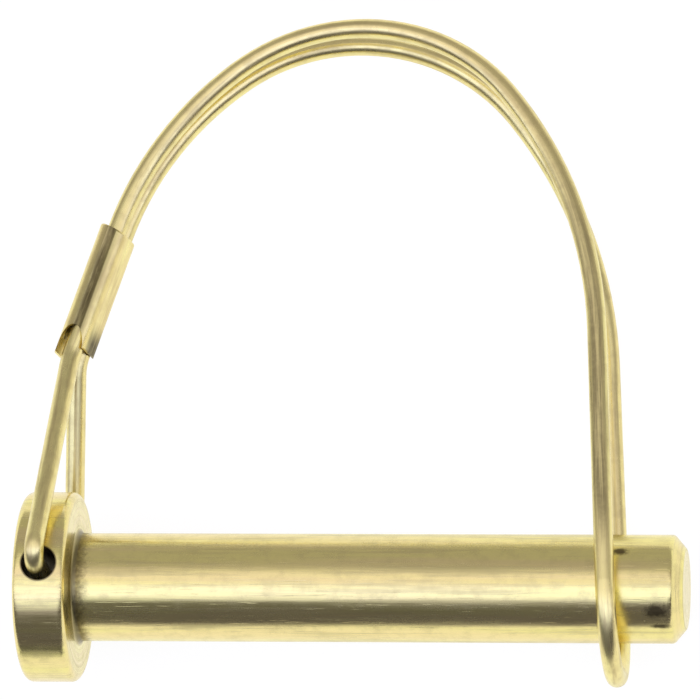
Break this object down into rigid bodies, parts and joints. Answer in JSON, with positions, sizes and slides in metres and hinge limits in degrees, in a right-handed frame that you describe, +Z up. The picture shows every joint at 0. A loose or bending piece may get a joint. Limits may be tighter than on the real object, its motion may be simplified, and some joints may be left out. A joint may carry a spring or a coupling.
{
  "type": "lynch pin",
  "caption": "Round-arch wire lock pin: a headed steel pin whose sprung wire bail hinges in the head and snaps round the tail.",
  "frame": {"origin": "middle of the head's underside, on the shank's axis", "axes": "+Z up with the part lying on its lower hook and lower leg; +X above the shank, from head to tail; +Y to the crown of the bow"},
  "size_m": [0.0621, 0.0637, 0.0224],
  "materials": {
    "pin_plating": "turned steel, yellow zinc plating, lengthwise scuffs",
    "wire_plating": "drawn spring steel wire, yellow zinc plating",
    "ferrule_plating": "crimped sheet steel, dulled yellow zinc plating"
  },
  "bodies": {
    "pin": {"pin": "pin_plating"},
    "bail": {"wire_bail": "wire_plating", "ferrule": "ferrule_plating"}
  },
  "joints": [
    {"name": "bail_swing", "type": "hinge", "parent": "pin", "child": "bail", "pos_m": [-0.00254, -0.00025, 0.00019], "axis": [0.0691, 0.0419, 0.9967], "range_deg": [0, 250], "deforming": ["wire_bail"]}
  ]
}
